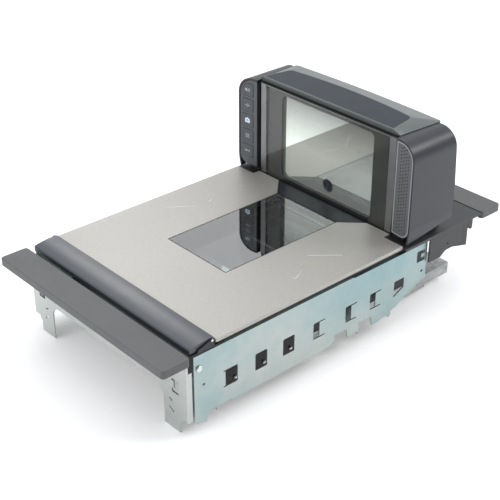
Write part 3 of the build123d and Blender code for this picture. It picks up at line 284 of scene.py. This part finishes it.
def raised(shapes, place, rise):
    """Closed slabs from flat shapes. Each shape is an outline, or a band with its quads. place
    carries the flat points to a height over the body's face: the top to rise, the underside to
    a third of that below the face. Walls join the two."""
    points, faces = [], []
    for shape in shapes:
        start = sum(len(block) for block in points)
        if isinstance(shape, tuple):
            flat, top = shape
            here, after = top[:, 0], top[:, 1]
            loops = ((here, after), (after + len(here), here + len(here)))
        else:
            flat, top = shape, np.arange(len(shape))[None]
            here = top[0]
            loops = ((here, np.roll(here, -1)),)
        count = len(flat)
        points += [place(flat, rise), place(flat, -rise / 3)]
        faces += (top + start).tolist()
        faces += (top[:, ::-1] + start + count).tolist()
        for here, after in loops:
            walls = np.stack([here, here + count, after + count, after], 1) + start
            faces += walls.tolist()
    return np.vstack(points), faces


def platter_marks(rise):
    """Four raised marks on the platter's face: two long lines, a hooked one and a short one,
    each a ribbon along the corners given in metres."""
    width = 0.001
    lines = (
        ((-0.1165, -0.0533), (-0.0906, -0.0178)),
        ((-0.1013, 0.0139), (-0.0919, -0.0044)),
        ((0.0865, -0.0054), (0.1128, 0.0256)),
        ((0.0935, -0.0172), (0.1075, -0.0365), (0.1135, -0.0505), (0.1085, -0.0535)),
    )

    def place(flat, height):
        return np.column_stack([flat, np.full(len(flat), platter_face + height)])

    return raised([ribbon(line, width) for line in lines], place, rise)


def camera_body(half_width, half_height, lens, count=32):
    """A rectangle with a round hole: at each angle the outer point lies where the ray meets
    the rectangle, the inner one on the lens's circle."""
    turn = (np.arange(count) + 0.5) * 2 * np.pi / count
    unit = np.stack([np.cos(turn), np.sin(turn)], 1)
    reach = 1 / np.max(np.abs(unit) / (half_width, half_height), axis=1)
    return band(unit * reach[:, None], unit * lens)


def key_symbols():
    """Flat shapes of each key's symbol, in millimetres from the middle of its face."""
    line = 0.7
    speaker = ((-4, -1.2), (-2.5, -1.2), (-0.4, -3), (-0.4, 3), (-2.5, 1.2), (-4, 1.2))
    return {
        "volume_key": [
            np.array(speaker),
            ribbon(arc((-0.6, 0), 2.6, 42), line),
            ribbon(arc((-0.6, 0), 4.3, 42), line),
        ],
        "operator_key": [
            band(circle(1.5 + line / 2), circle(1.5 - line / 2)),
            ribbon(((-4.4, 0), (-2.6, 0)), line),
            ribbon(((2.6, 0), (4.4, 0)), line),
        ],
        "camera_key": [
            camera_body(4, 2.9, 1.6),
            np.array(((-1.6, 3), (1.6, 3), (1.2, 4), (-1.2, 4))),
            circle(0.8),
        ],
        "spare_key": [ribbon(((-3.4, rise), (3.4, rise)), line) for rise in (-2, 0, 2)],
        "menu_key": [
            np.array(((-4.2, 0), (-2, -1.7), (-2, 1.7))),
            np.array(((4.2, 0), (2, 1.7), (2, -1.7))),
            circle(0.9),
        ],
    }


def seam_shade_strip(side):
    """Black strip behind the seam beside a side cover, a painted shade that darkens the seam: a
    squared-off ellipse (each half width times the square root of the cosine or sine) carried
    straight up, with closed ends."""
    half_width, half_depth = 0.0014, 0.0027
    across, back = 0.1198, 0.1075
    bottom, top = 0.1105, 0.2315
    count = 24
    turn = np.arange(count) * 2 * np.pi / count
    wave = np.stack([np.cos(turn), np.sin(turn)], 1)
    section = np.sign(wave) * np.sqrt(np.abs(wave)) * (half_width, half_depth)
    section += (side * across, back)
    levels = np.linspace(bottom, top, 5)
    points = np.vstack([np.column_stack([section, np.full(count, level)]) for level in levels])
    here = np.arange(count)
    after = (here + 1) % count
    faces = [here[::-1].tolist(), (here + count * (len(levels) - 1)).tolist()]
    for row in range(len(levels) - 1):
        low, high = row * count, (row + 1) * count
        faces += np.stack([here + low, after + low, after + high, here + high], 1).tolist()
    return points, faces


# ---------------------------------------------------------------- operators


class SCANNER_OT_sheet_metal(bpy.types.Operator):
    """Zinc rails, end bracket and screws, and the galvanised tray"""

    bl_idname = "scanner.sheet_metal"
    bl_label = "Sheet metal"

    def execute(self, context):
        colours = context.scene.scanner_colours
        zinc = sheet_metal("zinc_rail", colours.zinc, 0.42, 9, (0.48, 0.52, 0.5), (1, 1, 0.05))
        dress(zinc.material, "side_rail_left", "side_rail_right", "rail_gussets")
        pale = sheet_metal(
            "zinc_bracket", (0.46, 0.49, 0.48), 0.36, 7, (0.58, 0.58, 0.56), (1, 0.05, 1)
        )
        dress(pale.material, "front_end_bracket")
        tray = Finish("galvanised", (0.42, 0.43, 0.43), 0.42, 1.0)
        tray.tint(tray.spread(tray.cells(160), 0, 1), 0.7, 1.25)
        tray.rough(tray.noise(120, 3), 0.32, 0.55)
        dress(tray.material, "base_tray")
        steel = sheet_metal("screw_steel", (0.6, 0.62, 0.62), 0.3, 60, (0.7, 0.7, 0.68))
        dress(
            steel.material,
            "rail_screws",
            "tub_screws",
            "rear_cover_screws",
            "foot_studs",
            "produce_rail_pins",
        )
        cast = Finish("cast_alloy", (0.5, 0.5, 0.5), 0.5, 1.0)
        cast.relief(cast.noise(700, 3), 0.00008)
        cast.rough(cast.noise(90, 3), 0.42, 0.62)
        dress(cast.material, "load_cells", "scale_spider")
        return {"FINISHED"}


class SCANNER_OT_platter(bpy.types.Operator):
    """Brushed stainless platter and the marks raised on it"""

    bl_idname = "scanner.platter"
    bl_label = "Platter"

    def execute(self, context):
        steel = Finish("stainless", (0.42, 0.405, 0.38), 0.36, 0.45)
        lines = steel.noise(1500, 4, 0.7, (1, 0.05, 1))
        grain = steel.noise(420, 3, 0.7)
        cloud = steel.noise(9, 3, 0.6)
        steel.tint(steel.maths("ADD", steel.spread(lines, -0.25, 0.25), grain), 0.82, 1.14)
        steel.rough(steel.maths("ADD", steel.spread(cloud, -0.3, 0.3), lines), 0.34, 0.5)
        steel.relief(lines, 0.000012)
        dress(steel.material, "platter")
        # The raised marks are real, but their steel is much paler than the platter's: a painted
        # highlight along the lines
        mark_highlight = Finish("mark_steel_painted_highlight", (0.75, 0.74, 0.72), 0.36, 1.0)
        mark_highlight.rough(mark_highlight.noise(900, 3), 0.3, 0.45)
        marks = platter_marks(context.scene.scanner_sizes.mark_rise)
        piece("platter_marks", *marks, "platter_set", mark_highlight.material, "stainless")
        return {"FINISHED"}


class SCANNER_OT_plastics(bpy.types.Operator):
    """Covers, brow, bars, deck, black mouldings, rubber, and black strips of painted shade in the
    seams beside the covers
    """

    bl_idname = "scanner.plastics"
    bl_label = "Plastics"

    def execute(self, context):
        colours = context.scene.scanner_colours
        covers = moulded("cover_plastic", colours.covers, 0.34)
        covers.set("Specular IOR Level", 0.4)
        dress(covers.material, "side_cover_left", "side_cover_right")
        bonnet = moulded("bonnet_plastic", (0.11, 0.125, 0.125), 0.36)
        dress(bonnet.material, "bonnet")
        inset = moulded("inset_plastic", colours.brow, 0.34)
        inset.set("Specular IOR Level", 0.2)
        dress(inset.material, "bonnet_inset")
        filler = moulded("filler_plastic", colours.filler, 0.5, 1800, 0.00005)
        dress(filler.material, "front_filler_bar", "rear_filler_bar")
        bar = moulded("rail_bar", (0.03, 0.037, 0.048), 0.3, coat=0.3)
        dress(bar.material, "produce_rail")
        trim = moulded("trim_plastic", (0.012, 0.014, 0.018), 0.34)
        trim.set("Specular IOR Level", 0.25)
        dress(trim.material, "platter_trim")
        deck = moulded("deck_plastic", (0.026, 0.029, 0.032), 0.45, 1500, 0.00006)
        dress(deck.material, "rear_deck", "rear_cover")
        black = moulded("black_plastic", (0.012, 0.012, 0.014), 0.45)
        dress(
            black.material,
            "tower_housing",
            "tower_plinth",
            "chassis_tub",
            "optics_cover",
            "imagers",
            "window_frame",
        )
        coated = moulded("black_steel", (0.016, 0.016, 0.02), 0.4, 1200, 0.00006)
        dress(coated.material, "rear_support", "produce_rail_base", "interface_panel")
        panel = moulded("panel_plastic", (0.075, 0.083, 0.09), 0.4)
        dress(panel.material, "key_panel")
        keys = moulded("key_plastic", (0.055, 0.062, 0.07), 0.38)
        dress(keys.material, "menu_key", "spare_key", "camera_key", "operator_key", "volume_key")
        grille = moulded("grille_plastic", (0.1, 0.103, 0.107), 0.42)
        dress(grille.material, "speaker_grille")
        # Painted highlight: the grille's bezel is light grey, far paler than the covers, standing
        # in for light caught on the rim round the grille
        bezel = moulded("bezel_plastic", (0.3, 0.31, 0.32), 0.32)
        dress(bezel.material, "grille_bezel")
        rubber = moulded("rubber", (0.02, 0.02, 0.02), 0.7)
        dress(rubber.material, "keypad_sheet", "foot_pads", "platter_bumpers", "window_gasket")
        # Painted shade: black strips close the seams beside the side covers, standing in for the
        # shade inside them
        painted_seam_shade = moulded("painted_seam_shade", (0.015, 0.015, 0.016), 0.85, 900, 0.0002)
        for side, name in ((-1, "left_seam_shade"), (1, "right_seam_shade")):
            piece(name, *seam_shade_strip(side), "scanner", painted_seam_shade.material, "rubber")
        cone = moulded("speaker_black", (0.02, 0.02, 0.02), 0.6)
        dress(cone.material, "speaker")
        socket = moulded("socket_plastic", (0.02, 0.02, 0.022), 0.35)
        dress(socket.material, "cable_sockets")
        board = moulded("board", (0.01, 0.07, 0.03), 0.4)
        dress(board.material, "main_board", "key_board", "illumination_boards")
        return {"FINISHED"}


def clear_pane(name, tint, index):
    """Polished glass: what is behind shows straight through it, and its near face mirrors by
    Fresnel. The far face only lets light through."""
    made = Finish(name, tint, 0.0)
    output = made.tree.nodes["Material Output"]
    through = made.node("BsdfTransparent", {"Color": (*tint, 1)})
    mirror = made.node("BsdfGlossy", {"Color": (1, 1, 1, 1), "Roughness": 0.0})
    facing = made.node("NewGeometry").outputs["Backfacing"]
    front = made.maths("SUBTRACT", 1.0, facing)
    share = made.maths("MULTIPLY", made.node("Fresnel", {"IOR": index}).outputs[0], front)
    mixed = made.node("MixShader", {0: share, 1: through.outputs[0], 2: mirror.outputs[0]})
    made.tree.nodes.remove(made.shader)
    made.feed(output.inputs["Surface"], mixed.outputs[0])
    return made


class SCANNER_OT_symbols(bpy.types.Operator):
    """Printed symbols that ride on the keys"""

    bl_idname = "scanner.symbols"
    bl_label = "Key symbols"

    def execute(self, context):
        rise = context.scene.scanner_sizes.symbol_rise
        along = np.array((math.cos(key_turn), math.sin(key_turn), 0))
        up = np.array((0.0, 0.0, 1.0))
        outward = np.cross(along, up)
        print_ink = Finish("symbol_ink", (0.42, 0.47, 0.52), 0.45)
        print_ink.tint(print_ink.noise(4000, 2), 0.85, 1.1)
        bright_ink = Finish("bright_ink", (0.72, 0.82, 0.92), 0.4)
        bright_ink.tint(bright_ink.noise(4000, 2), 0.9, 1.05)
        for key, shapes in key_symbols().items():
            corners = np.array([tuple(vertex.co) for vertex in nodes[key].data.vertices])
            spots = [corners @ axis for axis in (along, up)]
            middle = [(spot.min() + spot.max()) / 2 for spot in spots]
            face = (corners @ outward).max()

            def place(flat, height):
                flat = np.asarray(flat) / 1000
                u, v = flat[:, :1] + middle[0], flat[:, 1:] + middle[1]
                return u * along + v * up + (face + height) * outward

            ink = bright_ink if key == "camera_key" else print_ink
            name = key.replace("_key", "_symbol")
            piece(name, *raised(shapes, place, rise), key, ink.material, "key_plastic", False)
        return {"FINISHED"}


class SCANNER_OT_windows(bpy.types.Operator):
    """Panes, printed border, strips, mirrors and lenses"""

    bl_idname = "scanner.windows"
    bl_label = "Windows"

    def execute(self, context):
        tower = clear_pane("window_glass", (0.95, 0.97, 0.96), 1.5)
        dress(tower.material, "tower_window", "lower_window")
        sapphire = clear_pane("platter_glass", (0.88, 0.92, 0.93), 3.4)
        dress(sapphire.material, "platter_glass")
        mask = moulded("mask_black", (0.02, 0.021, 0.02), 0.3)
        dress(mask.material, "window_mask")
        mirror = Finish("mirror", (0.96, 0.95, 0.92), 0.03, 0.82)
        # Painted shade: the mirrors' colour falls to three tenths of its plain value between 0.165
        # m and 0.225 m up, darker towards the top of the tower
        height = mirror.node("SeparateXYZ", {0: mirror.place}).outputs["Z"]
        mirror.tint(mirror.spread(height, 0, 1, 0.165, 0.225), 1.0, 0.3)
        dress(mirror.material, "tower_mirror", "side_mirrors", "lower_mirrors")
        strip = sheet_metal(
            "strip_metal", (0.2, 0.2, 0.2), 0.35, 20, (0.24, 0.24, 0.24), (1, 1, 0.02)
        )
        dress(strip.material, "window_side_strips", "window_top_strip")
        lens = Finish("lens_glass", (0.01, 0.01, 0.02), 0.05)
        dress(lens.material, "imager_lenses")
        return {"FINISHED"}


class SCANNER_OT_stage(bpy.types.Operator):
    """Pale floor, soft light and the camera"""

    bl_idname = "scanner.stage"
    bl_label = "Stage"

    def execute(self, context):
        scene = context.scene
        floor_finish = Finish("floor_paper", (0.9, 0.9, 0.9), 0.9)
        floor_finish.tint(floor_finish.noise(3, 2), 0.99, 1.01)
        floor_finish.set("Emission Color", (1, 1, 1, 1))
        floor_finish.set("Emission Strength", 0.25)
        side = np.array((-floor_half, floor_half))
        x, y = np.meshgrid(side, side)
        points = np.stack([x.ravel(), y.ravel(), np.full(x.size, -floor_drop)], 1)
        mesh = bpy.data.meshes.new("floor")
        mesh.from_pydata(points.tolist(), [], [(0, 1, 3, 2)])
        mesh.materials.append(floor_finish.material)
        floor = bpy.data.objects.new("floor", mesh)
        scene.collection.objects.link(floor)

        # a sky that is even on the left and fades towards the right
        scene.world = bpy.data.worlds.new("studio")
        scene.world.use_nodes = True
        sky = scene.world.node_tree
        backing = sky.nodes["Background"]
        backing.inputs["Color"].default_value = (0.97, 0.98, 1.0, 1)
        way = sky.nodes.new("ShaderNodeTexCoord").outputs["Generated"]
        split = sky.nodes.new("ShaderNodeSeparateXYZ")
        fade = sky.nodes.new("ShaderNodeMapRange")
        ranges = {"From Min": 0.1, "From Max": 0.9, "To Min": sky_bright, "To Max": sky_dim}
        for socket, value in ranges.items():
            fade.inputs[socket].default_value = value
        sky.links.new(way, split.inputs[0])
        sky.links.new(split.outputs["X"], fade.inputs["Value"])
        sky.links.new(fade.outputs["Result"], backing.inputs["Strength"])
        scene.view_settings.view_transform = "Standard"

        for name, place, size, power in lamps:
            lamp = bpy.data.lights.new(name, "AREA")
            lamp.size = size
            lamp.energy = power
            made = bpy.data.objects.new(name, lamp)
            made.location = place
            towards = Vector(lamp_aim) - Vector(place)
            made.rotation_euler = towards.to_track_quat("-Z", "Y").to_euler()
            scene.collection.objects.link(made)

        back = Vector(
            (
                math.sin(camera_azimuth) * math.cos(camera_elevation),
                -math.cos(camera_azimuth) * math.cos(camera_elevation),
                math.sin(camera_elevation),
            )
        )
        camera = bpy.data.objects.new("camera", bpy.data.cameras.new("camera"))
        camera.data.sensor_width = 36
        camera.data.lens = 83.0
        camera.location = Vector(camera_aim) + back * camera_distance
        camera.rotation_euler = (-back).to_track_quat("-Z", "Y").to_euler()
        scene.collection.objects.link(camera)
        scene.camera = camera
        return {"FINISHED"}


class SCANNER_PT_sidebar(bpy.types.Panel):
    """The scanner's steps, in the order they are run"""

    bl_idname = "SCANNER_PT_sidebar"
    bl_label = "Counter scanner"
    bl_space_type = "VIEW_3D"
    bl_region_type = "UI"
    bl_category = "Scanner"

    def draw(self, context):
        for step in steps:
            self.layout.operator(step.bl_idname)


steps = (
    SCANNER_OT_sheet_metal,
    SCANNER_OT_platter,
    SCANNER_OT_plastics,
    SCANNER_OT_symbols,
    SCANNER_OT_windows,
    SCANNER_OT_stage,
)
classes = (ScannerSizes, ScannerColours, *steps, SCANNER_PT_sidebar)


def register():
    for item in classes:
        bpy.utils.register_class(item)
    bpy.types.Scene.scanner_sizes = bpy.props.PointerProperty(type=ScannerSizes)
    bpy.types.Scene.scanner_colours = bpy.props.PointerProperty(type=ScannerColours)


def unregister():
    del bpy.types.Scene.scanner_colours
    del bpy.types.Scene.scanner_sizes
    for item in reversed(classes):
        bpy.utils.unregister_class(item)


def main():
    register()
    for step in steps:
        group, name = step.bl_idname.split(".")
        getattr(getattr(bpy.ops, group), name)()


if __name__ == "__main__":
    main()
